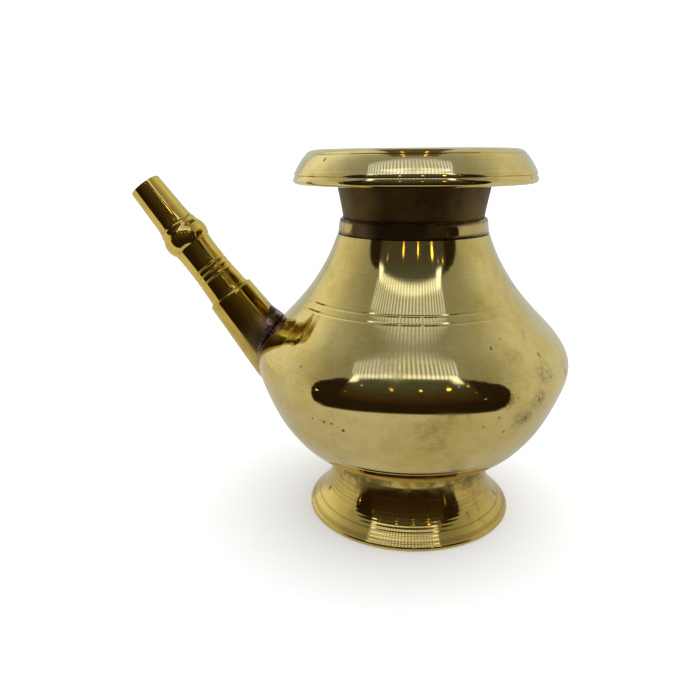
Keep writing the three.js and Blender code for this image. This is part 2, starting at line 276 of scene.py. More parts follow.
def splitVector(tree, vector):
    return add(tree, "ShaderNodeSeparateXYZ", None, Vector=vector).outputs


# The metals

# scales are in bumps per metre, and a range turns noise into a mask
lathe = {
    "lineDetail": 3.0, "lineRough": 0.65,
    "chatterScale": 45.0, "chatterRange": (0.35, 0.65), "chatterLeast": 0.6,
    "wobbleScale": 55.0, "wobbleHeight": 12.0,
    "grainScale": 170.0, "grainRange": (0.35, 0.62), "grainLeast": 0.25,
    "stainScale": 26.0, "stainRange": (0.5, 0.74),
    "cloudScale": 18.0, "cloudRange": (0.36, 0.66),
    "grimeRange": (0.34, 0.46), "stainDulls": 0.25, "linesDull": 0.03, "rippleScale": 150.0,
}
pits = {
    "scale": 120.0, "chosen": (0.80, 0.83), "core": 0.03, "edge": 0.10, "depth": 60.0,
    "patchScale": 22.0, "patchRange": (0.5, 0.62), "colour": (0.03, 0.02, 0.01, 1),
}


def buildLatheGroup():
    # turning lines, hand polish, pits and stains for a piece that is round about the z axis
    number = "NodeSocketFloat"
    group, into, out = newGroup(
        "latheFinish",
        [("Vector", "NodeSocketVector", None), ("Lean", number, 0.0), ("Line Pitch", number, 1.0),
         ("Line Depth", number, 1.0), ("Wobble", number, 1.0), ("Pits", number, 0.5),
         ("Stain", number, 0.5)],
        ["Height", "Pit Mask", "Stain Mask", "Lines", "Cloud"])
    vector = into["Vector"]
    x, y, z = splitVector(group, vector)
    radius = calc(group, "SQRT", calc(group, "MULTIPLY_ADD", x, x, times(group, y, y)))
    along = calc(group, "MULTIPLY_ADD", radius, into["Lean"], z)
    step = calc(group, "DIVIDE", times(group, along, 1 / mm), into["Line Pitch"])
    oneLine = {"noise_dimensions": "1D"}
    fine = add(group, "ShaderNodeTexNoise", oneLine, W=step, Scale=1.0, Detail=lathe["lineDetail"],
               Roughness=lathe["lineRough"]).outputs[0]
    # the tool chatters a little, so the lines fade in and out round the pot
    chatter = noise(group, vector, lathe["chatterScale"])
    chatter = ramp(group, chatter, *lathe["chatterRange"], lathe["chatterLeast"], 1.0)
    lines = times(group, fine, chatter, into["Line Depth"])
    wobble = noise(group, vector, lathe["wobbleScale"], 1.0)
    wobble = times(group, wobble, into["Wobble"], lathe["wobbleHeight"])
    # casting pits: sparse cells, kept only where a slow noise allows
    cells = add(group, "ShaderNodeTexVoronoi", {"feature": "F1"}, Vector=vector, Scale=pits["scale"])
    chance = add(group, "ShaderNodeSeparateColor", None, Color=cells.outputs["Color"]).outputs[0]
    chosen = ramp(group, chance, *pits["chosen"])
    spot = ramp(group, cells.outputs["Distance"], pits["core"], pits["edge"], 1.0, 0.0)
    patch = ramp(group, noise(group, vector, pits["patchScale"]), *pits["patchRange"])
    pit = times(group, chosen, spot, patch, into["Pits"])
    height = calc(group, "SUBTRACT", calc(group, "ADD", lines, wobble), times(group, pit, pits["depth"]))
    # stains are grainy, and the colour clouds over softly
    grain = noise(group, vector, lathe["grainScale"], 4.0, 0.65)
    grain = ramp(group, grain, *lathe["grainRange"], lathe["grainLeast"], 1.0)
    stain = ramp(group, noise(group, vector, lathe["stainScale"], 6.0, 0.7), *lathe["stainRange"])
    stain = times(group, stain, grain, into["Stain"])
    cloud = ramp(group, noise(group, vector, lathe["cloudScale"], 8.0, 0.76), *lathe["cloudRange"])
    results = {"Height": height, "Pit Mask": pit, "Stain Mask": stain, "Lines": fine, "Cloud": cloud}
    for label, value in results.items():
        group.links.new(value, out[label])
    return group


latheGroup = buildLatheGroup()


def metal(name, place, look, soil=None):
    # a turned metal; soil(tree, vector) gives a mask of dirt or heat stain of its own, which on the
    # collar and the shoulder also holds a painted reflection
    material = bpy.data.materials.new(name)
    material.use_nodes = True
    tree = material.node_tree
    shader = tree.nodes["Principled BSDF"]
    shader.inputs["Metallic"].default_value = 1.0
    shader.inputs["Anisotropic"].default_value = look["streak"]
    shader.inputs["Anisotropic Rotation"].default_value = 0.25
    where = add(tree, "ShaderNodeTexCoord").outputs["Object"]
    move = place.inverted()
    turned = add(tree, "ShaderNodeMapping", {"vector_type": "POINT"}, Vector=where,
                 Location=move.to_translation(), Rotation=move.to_euler())
    vector = turned.outputs[0]
    finish = add(tree, "ShaderNodeGroup", {"node_tree": latheGroup}, Vector=vector, Lean=look["lean"],
                 Line_Pitch=look["pitch"], Line_Depth=look["lines"], Wobble=look["wobble"],
                 Pits=look["pits"], Stain=look["stain"]).outputs
    # the grooves run round the axis, so the shine spreads across them
    axis = place.to_3x3() @ Vector((0, 0, 1))
    fromAxis = vectorMath(tree, "SUBTRACT", where, place.to_translation())
    around = vectorMath(tree, "CROSS_PRODUCT", axis, fromAxis)
    tree.links.new(vectorMath(tree, "NORMALIZE", around), shader.inputs["Tangent"])
    colour = mixColour(tree, finish["Cloud"], look["colour"], look["warm"])
    colour = mixColour(tree, finish["Stain Mask"], colour, look["stainColour"])
    # grime left in the deeper turning lines
    grime = ramp(tree, finish["Lines"], *lathe["grimeRange"], look["grime"], 0.0)
    colour = mixColour(tree, grime, colour, look["stainColour"])
    rough = calc(tree, "MULTIPLY_ADD", finish["Stain Mask"], lathe["stainDulls"], look["rough"])
    rough = calc(tree, "MULTIPLY_ADD", finish["Lines"], lathe["linesDull"], rough)
    height = finish["Height"]
    if soil:
        dirt = soil(tree, vector)
        ripple = noise(tree, vector, lathe["rippleScale"], 1.0)
        ripple = times(tree, ripple, dirt, look["soilWobble"])
        height = calc(tree, "ADD", height, ripple)
        # the soil colour paints the dirt and stains, and the painted reflections that ride in the same
        # mask
        colour = mixColour(tree, dirt, colour, look["soilColour"])
        rough = calc(tree, "MULTIPLY_ADD", dirt, look["soilRough"], rough)
    colour = mixColour(tree, finish["Pit Mask"], colour, pits["colour"])
    tree.links.new(colour, shader.inputs["Base Color"])
    tree.links.new(rough, shader.inputs["Roughness"])
    relief = add(tree, "ShaderNodeBump", None, Strength=1.0, Distance=0.001 * mm, Height=height)
    tree.links.new(relief.outputs[0], shader.inputs["Normal"])
    return material


brassLook = {
    "colour": (0.82, 0.68, 0.28, 1), "warm": (0.67, 0.51, 0.145, 1), "rough": 0.05, "streak": 0.75,
    "stainColour": (0.27, 0.18, 0.06, 1), "stain": 0.62, "pits": 1.0,
    "soilColour": (0.07, 0.045, 0.03, 1), "soilRough": 0.35, "soilWobble": 0.0,
    "lines": 1.5, "pitch": 0.9, "lean": -0.7, "grime": 0.1, "wobble": 0.5,
}
# the spout's axis in the pot's own frame
spoutAxis = {"reach": 76.7, "height": 92.9, "angle": 53.5}
# soil by the distance from that axis, down to the sleeve's heel
rootSoil = {
    "near": 10.5, "far": 19.0, "strength": 0.38, "ragged": 14.0, "raggedScale": 90.0, "heel": 32.0,
    "seam": 13.4, "seamEnd": 15.4, "seamStrength": 0.97, "seamRagged": 3.0,
}
# marks on the pot, and one painted reflection: degrees round from the front, height, radius, how dark
marksAndPaintedReflection = [
    (-34, 58, 0.5, 0.9), (-29, 58, 0.55, 0.9), (-26, 58, 0.5, 0.9), (-24, 57, 0.35, 0.7),
    (-22, 56, 0.75, 0.9), (-45, 147, 0.9, 0.8), (61, 140, 0.8, 0.8), (-69, 10, 1.5, 0.8),
    (80, 7, 1.5, 0.8), (41, 9, 0.6, 0.8), (31, 84, 0.5, 0.8), (37, 86, 0.45, 0.6),
    (52, 79, 0.9, 0.5), (29, 62, 0.55, 0.6), (24, 59, 0.5, 0.6), (33, 55, 0.55, 0.6),
    (-40, 76, 0.5, 0.7), (50, 85, 5.0, 0.25), (46, 65, 6.5, 0.8), (40, 59, 6.0, 0.75),
    # (67, 69, 2.4, 0.95) is a painted reflection: a dark spot at the belly's right edge, standing in for
    # the tent's back opening mirrored there
    (34, 67, 4.5, 0.55), (67, 69, 2.4, 0.95), (50, 73, 7.0, 0.45),
]
unrolled = 55.0  # the radius at which the marks are true to size
markEdge = {
    "raggedScale": 260.0, "ragged": 2.4, "crispBelow": 2.0, "core": 0.6,
    "speckleScale": 520.0, "speckleRange": (0.42, 0.56), "speckleLeast": 0.15,
}


def buildMarksAndReflectionGroup():
    # ragged spots where the marks and the one painted reflection lie, on the pot's side unrolled flat
    group, into, out = newGroup("marksAndPaintedReflection", [("Vector", "NodeSocketVector", None)], ["Mask"])
    x, y, z = splitVector(group, into["Vector"])
    turn = calc(group, "ARCTAN2", x, times(group, y, -1.0))
    flat = add(group, "ShaderNodeCombineXYZ", None, X=times(group, turn, unrolled * mm), Z=z).outputs[0]
    shift = ragged(group, into["Vector"], markEdge["raggedScale"], 1.0, 4.0, 0.7)
    speckle = noise(group, into["Vector"], markEdge["speckleScale"], 3.0, 0.7)
    speckle = ramp(group, speckle, *markEdge["speckleRange"], markEdge["speckleLeast"], 1.0)
    mask = 0.0
    for angle, height, radius, strength in marksAndPaintedReflection:
        point = (math.radians(angle) * unrolled * mm, 0, height * mm)
        away = distance(group, flat, point)
        reach = calc(group, "MULTIPLY_ADD", shift, radius * markEdge["ragged"] * mm, away)
        # a pit has a crisp edge, a smudge is soft and speckled
        crisp = radius < markEdge["crispBelow"]
        core = radius * (markEdge["core"] if crisp else 0.0) * mm
        spot = ramp(group, reach, core, radius * mm, strength, 0.0)
        mask = calc(group, "MAXIMUM", mask, spot if crisp else times(group, spot, speckle))
    group.links.new(mask, out["Mask"])
    return group


marksAndReflectionGroup = buildMarksAndReflectionGroup()


def markAndReflectionMask(tree, vector):
    return add(tree, "ShaderNodeGroup", {"node_tree": marksAndReflectionGroup}, Vector=vector).outputs[0]


def soilRoundRoot(tree, vector):
    # smoke and flux left by the brazing, round the spout's root
    angle = math.radians(spoutAxis["angle"])
    start = (-spoutAxis["reach"] * mm, 0, spoutAxis["height"] * mm)
    axis = (-math.cos(angle), 0, math.sin(angle))
    fromStart = vectorMath(tree, "SUBTRACT", vector, start)
    across = distance(tree, vectorMath(tree, "CROSS_PRODUCT", fromStart, axis))
    along = add(tree, "ShaderNodeVectorMath", {"operation": "DOT_PRODUCT"}, i0=fromStart, i1=axis)
    below = calc(tree, "MINIMUM", calc(tree, "ADD", along.outputs["Value"], rootSoil["heel"] * mm), 0.0)
    away = calc(tree, "SQRT", calc(tree, "MULTIPLY_ADD", below, below, times(tree, across, across)))
    shift = ragged(tree, vector, rootSoil["raggedScale"], mm, 4.0, 0.6)
    reach = calc(tree, "MULTIPLY_ADD", shift, rootSoil["ragged"], away)
    smoke = ramp(tree, reach, rootSoil["near"] * mm, rootSoil["far"] * mm, rootSoil["strength"], 0.0)
    edge = calc(tree, "MULTIPLY_ADD", shift, rootSoil["seamRagged"], away)
    seam = ramp(tree, edge, rootSoil["seam"] * mm, rootSoil["seamEnd"] * mm,
                rootSoil["seamStrength"], 0.0)
    # the marks join in, among them a painted reflection on the shoulder
    return calc(tree, "MAXIMUM", calc(tree, "MAXIMUM", smoke, seam), markAndReflectionMask(tree, vector))


bellySoil = {"soilRough": 0.06, "soilWobble": 90.0}
potBrass = metal("turnedBrass", potPlace, brassLook | bellySoil, soilRoundRoot)
bowlBrass = metal("bowlBrass", potPlace, brassLook | bellySoil | {"lean": 0.7}, soilRoundRoot)
rimLook = {"colour": (0.87, 0.74, 0.34, 1), "warm": (0.74, 0.58, 0.19, 1)}
rimBrass = metal("rimBrass", potPlace, brassLook | rimLook, markAndReflectionMask)
print("metals mixed")


# The foot; an outline's points are radius and height, in millimetres

foot = {
    "toe": [(40.6, 0.0), (42.9, 0.0), (43.3, 0.15), (43.5, 0.45), (43.5, 0.95), (43.35, 1.35)],
    "outside": [(43.1, 1.7), (41.5, 3.3), (39.7, 5.1), (38.0, 7.0), (36.1, 9.6), (34.75, 12.4),
                (33.8, 15.2), (33.0, 18.0), (32.3, 21.2), (32.15, 22.7), (32.6, 24.4)],
    "inside": [(31.0, 22.6), (31.2, 18.5), (31.9, 14.8), (33.6, 10.8), (36.0, 7.0), (38.2, 4.2),
               (39.6, 2.0)],
    "top": (30.6, 24.4),
    "ridgePitch": 1.5, "ridgeDepth": 0.032, "ridgesFrom": 34.0, "ridgesFull": 37.0,
    "look": {"colour": (0.77, 0.59, 0.165, 1), "warm": (0.66, 0.475, 0.12, 1), "lean": 0.7, "stain": 0.9,
             "grime": 0.45, "soilColour": (0.085, 0.055, 0.024, 1), "soilRough": 0.2},
    "soilFrom": 16.0, "soilFull": 23.0, "soilStrength": 0.75, "soilRagged": 16.0, "raggedScale": 60.0,
    "patchScale": 130.0, "patchRange": (0.35, 0.6),
}


def soilUnderBelly(tree, vector):
    # old polish and dirt left round the top of the foot
    x, y, z = splitVector(tree, vector)
    shift = ragged(tree, vector, foot["raggedScale"], foot["soilRagged"] * mm, 5.0)
    high = ramp(tree, calc(tree, "ADD", z, shift), foot["soilFrom"] * mm, foot["soilFull"] * mm)
    patchy = ramp(tree, noise(tree, vector, foot["patchScale"], 4.0, 0.6), *foot["patchRange"])
    dirt = times(tree, high, patchy, foot["soilStrength"])
    return calc(tree, "MAXIMUM", dirt, markAndReflectionMask(tree, vector))


def buildFoot():
    # turned ridges on the flare, deeper towards the toe
    line = np.array(fairLine(foot["outside"], 0.16))
    length = np.concatenate([[0], np.cumsum(np.hypot(*np.diff(line, axis=0).T))])
    reach = np.clip((line[:, 0] - foot["ridgesFrom"]) / (foot["ridgesFull"] - foot["ridgesFrom"]), 0, 1)
    wave = 0.5 - 0.5 * np.cos(2 * np.pi * length / foot["ridgePitch"])
    ridged = line - lineNormals(line) * (foot["ridgeDepth"] * reach * wave)[:, None]
    outline = foot["toe"] + [tuple(p) for p in ridged] + [foot["top"]] + fairLine(foot["inside"], 1.2)
    footBrass = metal("footBrass", potPlace, brassLook | foot["look"], soilUnderBelly)
    finishPiece(turnPiece("footRing", outline), "foot", footBrass)


# The belly

belly = {
    "outside": [(33.6, 24.5), (36.5, 26.0), (39.8, 27.8), (44.2, 30.6), (50.5, 37.0), (55.4, 44.0),
                (59.3, 52.0), (62.4, 60.0), (63.78, 66.5), (63.15, 71.0), (61.2, 75.0), (57.5, 80.0),
                (51.7, 86.0), (46.05, 92.0), (41.15, 98.0), (37.15, 104.0), (33.8, 110.0), (31.6, 115.0),
                (30.2, 118.6)],
    "under": [(0.0, 21.9), (18.0, 22.2), (29.6, 23.5), (29.7, 24.5)],
    "floorInside": [(30.0, 26.4), (19.0, 24.6), (0.0, 23.9)],
    "lap": [(62.75, 67.0), (62.75, 69.4), (61.9, 69.4)],
    "lapOver": [(61.6, 69.5), (62.9, 69.4), (62.9, 67.0)],
    "spigot": [(27.4, 118.6), (27.4, 121.6), (25.5, 121.6), (25.5, 117.8)],
    "seam": 67.0, "wall": 1.9, "bowlInside": (28.0, 66.0), "shoulderInside": (71.0, 117.0),
    "lowLines": [(36.4, 0.8, 0.07), (38.0, 0.8, 0.10)],  # height, width, depth
    "shoulderLines": [(91.9, 1.9, 0.105), (94.4, 1.9, 0.105)],
}


def insideWall(line, low, high):
    wall = insetLine(line, belly["wall"])[::3]
    return [p for p in wall if low < p[1] < high][::-1]


def buildBelly():
    lower, upper = splitLine(fairLine(belly["outside"]), belly["seam"])
    inside = insideWall(lower, *belly["bowlInside"])
    for height, width, depth in belly["lowLines"]:
        lower = withGroove(lower, height, width, depth)
    outline = belly["under"] + lower + belly["lap"] + inside + belly["floorInside"]
    finishPiece(turnPiece("bowl", outline, closed=False), "lower_body", bowlBrass)

    inside = insideWall(upper, *belly["shoulderInside"])
    for height, width, depth in belly["shoulderLines"]:
        upper = withGroove(upper, height, width, depth)
    outline = upper + belly["spigot"] + inside + belly["lapOver"]
    finishPiece(turnPiece("shoulder", outline), "upper_body", potBrass)


# Collar and neck

collar = {
    "outline": [(27.6, 118.75), (29.6, 118.75), (29.88, 118.95), (29.9, 119.5), (29.7, 121.4),
                (29.35, 123.6), (29.1, 124.2), (28.6, 124.65), (27.6, 124.7)],
    # its soil colour paints both the corner dirt and the painted reflection on the front
    "look": {"colour": (0.68, 0.53, 0.22, 1), "warm": (0.50, 0.35, 0.12, 1), "stain": 0.9, "rough": 0.07,
             "lean": 0.0, "lines": 3.0, "soilColour": (0.045, 0.028, 0.016, 1), "soilRough": 0.4},
    "soilAt": (119.1, 124.2), "soilWidth": 1.5,
    "soilScale": 70.0, "soilRange": (0.25, 0.6), "soilLeast": 0.35,
    # a painted reflection: a dark patch on the front, where the collar mirrors the dark room
    "paintedReflectionFrom": 20.0, "paintedReflectionFull": 7.0, "paintedReflectionEnd": (-18.0, -20.0), "paintedReflectionFront": (-2.0, 2.0),
    "paintedReflectionStrength": 0.85, "paintedReflectionRagged": 8.0, "raggedScale": 120.0,
}
neck = {
    "outside": [(27.95, 124.95), (28.55, 128.5), (29.25, 132.3), (29.95, 135.8), (30.9, 140.2),
                (31.9, 144.0), (32.6, 146.0)],
    "inside": [(25.5, 124.9), (26.4, 129.0), (27.2, 133.0), (27.8, 137.5), (28.0, 141.0), (28.0, 143.0)],
    "spigot": [(25.5, 121.7), (27.35, 121.7), (27.35, 124.95)],
    "socket": [(29.8, 146.0), (29.8, 143.05)],
    "look": {"colour": (0.27, 0.19, 0.06, 1), "warm": (0.16, 0.10, 0.036, 1), "lean": 0.0, "rough": 0.6,
             "stain": 0.8, "lines": 8.0, "stainColour": (0.07, 0.05, 0.045, 1)},
}


def cornerDirtAndPaintedReflection(tree, vector):
    # dirt in the corners above and below the collar, and a painted reflection on its front: a dark patch
    # standing in for the dark room it mirrors
    x, y, z = splitVector(tree, vector)
    low, high = (bump(tree, z, height * mm, collar["soilWidth"] * mm) for height in collar["soilAt"])
    patchy = noise(tree, vector, collar["soilScale"], 4.0, 0.6)
    patchy = ramp(tree, patchy, *collar["soilRange"], collar["soilLeast"], 1.0)
    corners = times(tree, calc(tree, "MAXIMUM", low, high), patchy)
    # the painted reflection, ragged at its ends
    shift = noise(tree, vector, collar["raggedScale"], 4.0, 0.6)
    place = calc(tree, "MULTIPLY_ADD", shift, collar["paintedReflectionRagged"] * mm, x)
    fading, gone = collar["paintedReflectionEnd"]
    front, back = collar["paintedReflectionFront"]
    patch = times(tree, ramp(tree, place, collar["paintedReflectionFrom"] * mm, collar["paintedReflectionFull"] * mm),
                  ramp(tree, place, fading * mm, gone * mm, 1.0, 0.0),
                  ramp(tree, y, front * mm, back * mm, collar["paintedReflectionStrength"], 0.0))
    return calc(tree, "MAXIMUM", corners, patch)


def buildNeck():
    collarBrass = metal("collarBrass", potPlace, brassLook | collar["look"], cornerDirtAndPaintedReflection)
    band = turnPiece("collarBand", collar["outline"])
    finishPiece(band, "shoulder_collar", collarBrass)
    neckBrass = metal("dullNeckBrass", potPlace, brassLook | neck["look"])
    inside = fairLine(neck["inside"], 1.5)[::-1]
    outline = neck["spigot"] + fairLine(neck["outside"]) + neck["socket"] + inside
    finishPiece(turnPiece("neckTube", outline), "neck", neckBrass)


# Mouth rim, turned over and hollow underneath

rim = {
    "bead": [(45.5, 137.7), (46.6, 137.95), (47.25, 138.5), (47.42, 139.1), (47.35, 139.7),
             (47.12, 140.3), (46.82, 140.95)],
    "lowLine": (46.6, 141.12),
    "face": [(47.02, 141.3), (46.88, 141.8), (46.38, 142.8), (45.87, 143.8), (45.06, 145.2),
             (44.05, 146.7), (43.36, 147.6), (42.57, 148.5)],
    "highLine": (42.35, 148.6),
    "crown": [(42.4, 148.78), (42.0, 149.2), (41.1, 149.85), (39.9, 150.3), (38.2, 150.55),
              (36.5, 150.6), (34.6, 150.35), (32.4, 149.5), (30.5, 148.1), (29.2, 146.3), (28.4, 144.4),
              (28.05, 143.0)],
    "plug": [(29.55, 143.05), (29.55, 146.05)],
    "under": [(33.0, 146.05), (34.6, 147.6), (37.2, 148.2), (39.8, 147.4), (42.2, 145.0), (43.8, 142.0),
              (44.2, 139.9), (44.7, 138.4)],
}


def buildRim():
    outline = (fairLine(rim["bead"], 0.3) + [rim["lowLine"]]
               + fairLine(rim["face"], 0.35) + [rim["highLine"]]
               + fairLine(rim["crown"], 0.5) + rim["plug"] + fairLine(rim["under"], 0.8))
    finishPiece(turnPiece("mouthRim", outline), "mouth_rim", rimBrass)


buildFoot()
buildBelly()
buildNeck()
buildRim()
print("pot turned")


# The spout, in its own frame: z runs out along it from the sleeve's mouth

spout = {
    "steps": 128,
    "look": {"colour": (0.88, 0.67, 0.16, 1), "warm": (0.72, 0.50, 0.09, 1), "lean": 0.0, "stain": 0.5,
             "wobble": 3.6, "rough": 0.07, "soilColour": (0.21, 0.135, 0.105, 1), "soilRough": 0.4},
    "heel": [(5.5, -43.8), (9.0, -42.6), (11.3, -39.0), (12.0, -34.0)],
    "sleeve": [(12.0, -34.0), (11.25, -20.0), (10.6, -9.0), (10.2, -1.2)],
    "sleeveMouth": [(10.05, -0.55), (9.75, -0.15), (9.35, 0.0), (9.1, -0.05), (9.1, -8.0), (7.6, -8.0)],
    "sleeveInside": [(8.9, -12.0), (9.6, -22.0), (10.3, -33.0), (8.6, -40.0), (4.5, -43.8)],
    "tube": [(9.0, 0.1), (8.8, 1.2), (8.55, 4.0), (8.2, 9.0), (8.0, 14.0), (7.92, 18.0), (8.0, 22.0),
             (8.2, 24.6)],
    "tubeFoot": [(7.8, -7.7), (8.95, -7.7)],
    "tubeTop": [(6.9, 24.6), (6.9, 29.0), (5.6, 29.0), (5.6, 18.0)],
    "tubeLines": [8.9, 11.5, 13.9], "lineWidth": 1.0, "lineDepth": 0.28,
    "bulb": [(8.45, 24.95), (8.95, 26.0), (9.42, 27.8), (9.4, 29.6), (8.95, 31.3), (8.35, 32.6),
             (8.1, 33.5), (8.08, 34.2), (7.8, 34.9)],
    "bulbInside": [(6.9, 35.0), (6.9, 30.5), (5.6, 30.5), (5.6, 29.4), (7.1, 29.4), (7.1, 24.95)],
    "tip": [(7.62, 35.35), (7.35, 37.2), (7.15, 41.0), (6.95, 46.0), (6.75, 51.0), (6.6, 54.6)],
    "tipMouth": [(6.5, 55.1), (6.2, 55.3), (5.4, 55.3), (5.0, 54.9)],
    "tipPlug": [(5.0, 30.8), (6.6, 30.8), (6.6, 35.35)],
}
spoutPlace = (Matrix.Translation((potX - spoutAxis["reach"] * mm, 0, spoutAxis["height"] * mm))
              @ Matrix.Rotation(math.radians(spoutAxis["angle"] - 90), 4, "Y"))
heat = {
    "from": -9.0, "full": -25.0, "sideFrom": -11.0, "sideFull": 3.0, "ragged": 11.0,
    "raggedScale": 110.0,
}


def soilOnSleeve(tree, vector):
    # heat stain from the brazing, drawn up the side of the sleeve that faces the pot
    x, y, z = splitVector(tree, vector)
    shift = ragged(tree, vector, heat["raggedScale"], heat["ragged"] * mm)
    down = ramp(tree, calc(tree, "ADD", z, shift), heat["full"] * mm, heat["from"] * mm, 1.0, 0.0)
    side = ramp(tree, calc(tree, "ADD", x, shift), heat["sideFrom"] * mm, heat["sideFull"] * mm)
    return times(tree, down, side)


spoutBrass = metal("spoutBrass", spoutPlace, brassLook | spout["look"])
sleeveBrass = metal("sleeveBrass", spoutPlace, brassLook | spout["look"], soilOnSleeve)
braze = {
    "potReach": 0.75, "sleeveReach": 0.45, "sink": 0.08,
    "look": {"colour": (0.52, 0.33, 0.24, 1), "warm": (0.32, 0.19, 0.14, 1), "rough": 0.26, "lines": 0.0,
             "stainColour": (0.035, 0.02, 0.015, 1), "stain": 0.8, "pits": 0.0, "grime": 0.0,
             "wobble": 8.0, "soilColour": (0.055, 0.032, 0.03, 1), "soilRough": 0.15, "soilWobble": 40.0},
    "soilScale": 210.0, "soilRange": (0.45, 0.6),
}


def soilOnBraze(tree, vector):
    # dark flux in patches
    return ramp(tree, noise(tree, vector, braze["soilScale"], 4.0, 0.65), *braze["soilRange"])


brazeMetal = metal("brazeMetal", spoutPlace, brassLook | braze["look"], soilOnBraze)


def turnSpout(name, outline):
    return turnPiece(name, outline, spoutPlace, spout["steps"])


def potShape(margin):
    # the pot's outside as one closed solid, to cut and to fit by
    fat = [(r + margin, z) for r, z in fairLine(belly["outside"], 1.5)]
    return turnPiece("potShape", [(0.0, fat[0][1])] + fat + [(0.0, fat[-1][1])], closed=False)


def buildSleeve():
    outline = (fairLine(spout["heel"], 1.2)[:-1] + fairLine(spout["sleeve"], 1.2) + spout["sleeveMouth"]
               + spout["sleeveInside"])
    piece = turnSpout("spoutSleeve", outline)
    pot = potShape(0.05)
    applyModifier(piece, "potCut", "BOOLEAN", operation="DIFFERENCE", solver="EXACT", object=pot)
    bpy.data.objects.remove(pot)
    pick(piece)
    bpy.ops.object.shade_smooth_by_angle(angle=sharpAngle)
    finishPiece(piece, "spout_sleeve", sleeveBrass)
    return piece


def buildSpout():
    side = fairLine(spout["tube"], 0.7)
    for height in spout["tubeLines"]:
        side = withGroove(side, height, spout["lineWidth"], spout["lineDepth"])
    tube = turnSpout("spoutTube", spout["tubeFoot"] + side + spout["tubeTop"])
    finishPiece(tube, "spout_tube", spoutBrass)
    knuckle = turnSpout("spoutBulb", fairLine(spout["bulb"], 0.35) + spout["bulbInside"])
    finishPiece(knuckle, "spout_knuckle", spoutBrass)
    tip = turnSpout("spoutTip", spout["tipPlug"] + fairLine(spout["tip"], 0.7) + spout["tipMouth"])
    finishPiece(tip, "spout_tip", spoutBrass)


def gripEdges(piece, name, target, reach):
    # the vertices that lie close to a neighbour are drawn onto it
    group = piece.vertex_groups.new(name=name)
    for vertex in piece.data.vertices:
        found, nearest = target.closest_point_on_mesh(vertex.co)[:2]
        if found and (nearest - vertex.co).length < reach * mm:
            group.add([vertex.index], 1.0, "REPLACE")
    applyModifier(piece, name + "Fit", "SHRINKWRAP", target=target, vertex_group=name,
                  wrap_method="NEAREST_SURFACEPOINT", wrap_mode="INSIDE", offset=braze["sink"] * mm)


def buildBraze(sleeve):
    # a fillet with the solid's shape, merged, its edges run out onto the sleeve and the pot
    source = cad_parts["spout_braze"]
    piece = bpy.data.objects.new("brazeBead", source.data.copy())
    bpy.context.scene.collection.objects.link(piece)
    pick(piece)
    bpy.ops.object.mode_set(mode="EDIT")
    bpy.ops.mesh.select_all(action="SELECT")
    bpy.ops.mesh.remove_doubles(threshold=0.01 * mm)
    bpy.ops.mesh.tris_convert_to_quads()
    bpy.ops.object.mode_set(mode="OBJECT")
    pot = potShape(0.0)
    gripEdges(piece, "onPot", pot, braze["potReach"])
    gripEdges(piece, "onSleeve", sleeve, braze["sleeveReach"])
    bpy.data.objects.remove(pot)
    applyModifier(piece, "rounding", "SUBSURF", levels=2, render_levels=2)
    pick(piece)
    bpy.ops.object.shade_smooth()
    finishPiece(piece, "spout_braze", brazeMetal)


buildBraze(buildSleeve())
buildSpout()
print("spout built")


# Floor, light and camera

# the white tent: angles in degrees, 0 towards the camera
tent = {
    "walls": (0.60, 0.60, 0.56, 1), "lowWalls": (0.50, 0.49, 0.45, 1),
    "foldScale": 3.5, "foldRange": (0.3, 0.7), "foldTop": 60.0,
    "backWalls": (0.50, 0.55, 0.58, 1), "backFrom": 139.0, "backFull": 142.0,
    "leftGain": 1.35, "leftFrom": -97.0, "leftFull": -120.0,
    "backShade": 1.15, "frontShade": 0.5, "shadeFrom": 0.05, "shadeFull": 0.95, "shadeLean": 0.8,
    "daylight": 1.5, "daylightLean": 0.16,
}
# the dark room seen through the tent's open front, by the same angles
room = {
    "half": 71.5, "narrowsFrom": 18.0, "narrowing": 0.034, "soft": 1.0,
    "top": 42.5, "topLean": 2.5, "topLeanHalf": 20.0, "ragged": 3.0, "raggedScale": 9.0,
    "flank": (0.020, 0.012, 0.006, 1), "flankSoft": 3.0, "middleHalf": 49.0, "middleRise": 12.0,
    "middle": [(-15, (0.026, 0.012, 0.005, 1)), (4, (0.035, 0.018, 0.007, 1)),
               (14, (0.050, 0.031, 0.012, 1)), (25, (0.052, 0.040, 0.019, 1)),
               (33, (0.064, 0.062, 0.050, 1)), (50, (0.085, 0.092, 0.090, 1))],
    "lampColour": (1.0, 0.62, 0.14, 1),
    # each lamp: its angle round, its height, how bright and how large
    "lamps": [(-67, 3, 4.0, 1.5), (-46, 17, 0.9, 0.9), (-38, 36, 1.6, 1.1), (-14, 35.5, 5.0, 1.6),
              (8.5, 35.5, 5.0, 1.5), (30, 35, 7.0, 2.1), (39, 37, 1.2, 1.0), (46, 36, 2.5, 1.2),
              (48, 22, 0.8, 0.9), (52, 1, 1.5, 1.2)],
}
# the lit panel over the opening, on the plane in front: u to the right, v up, at a distance of 1
panel = {
    "stripLow": 1.26, "stripHigh": 1.50, "stripBow": 0.09, "stripHalf": 1.1, "soft": 0.05,
    "legIn": 0.84, "legLow": 1.13, "legSoft": 0.09, "top": 3.7, "topSoft": 1.0, "narrow": 0.59,
    "widening": 0.363, "columns": 26, "columnRange": (-0.6, 0.8), "shift": 0.03, "lean": 0.06,
    "tint": (0.90, 0.96, 1.25, 1), "stripGlow": 1.8, "gap": 0.72,
    "bright": 1.08, "dark": 0.33, "farBright": 0.76, "farDark": 0.54,
}
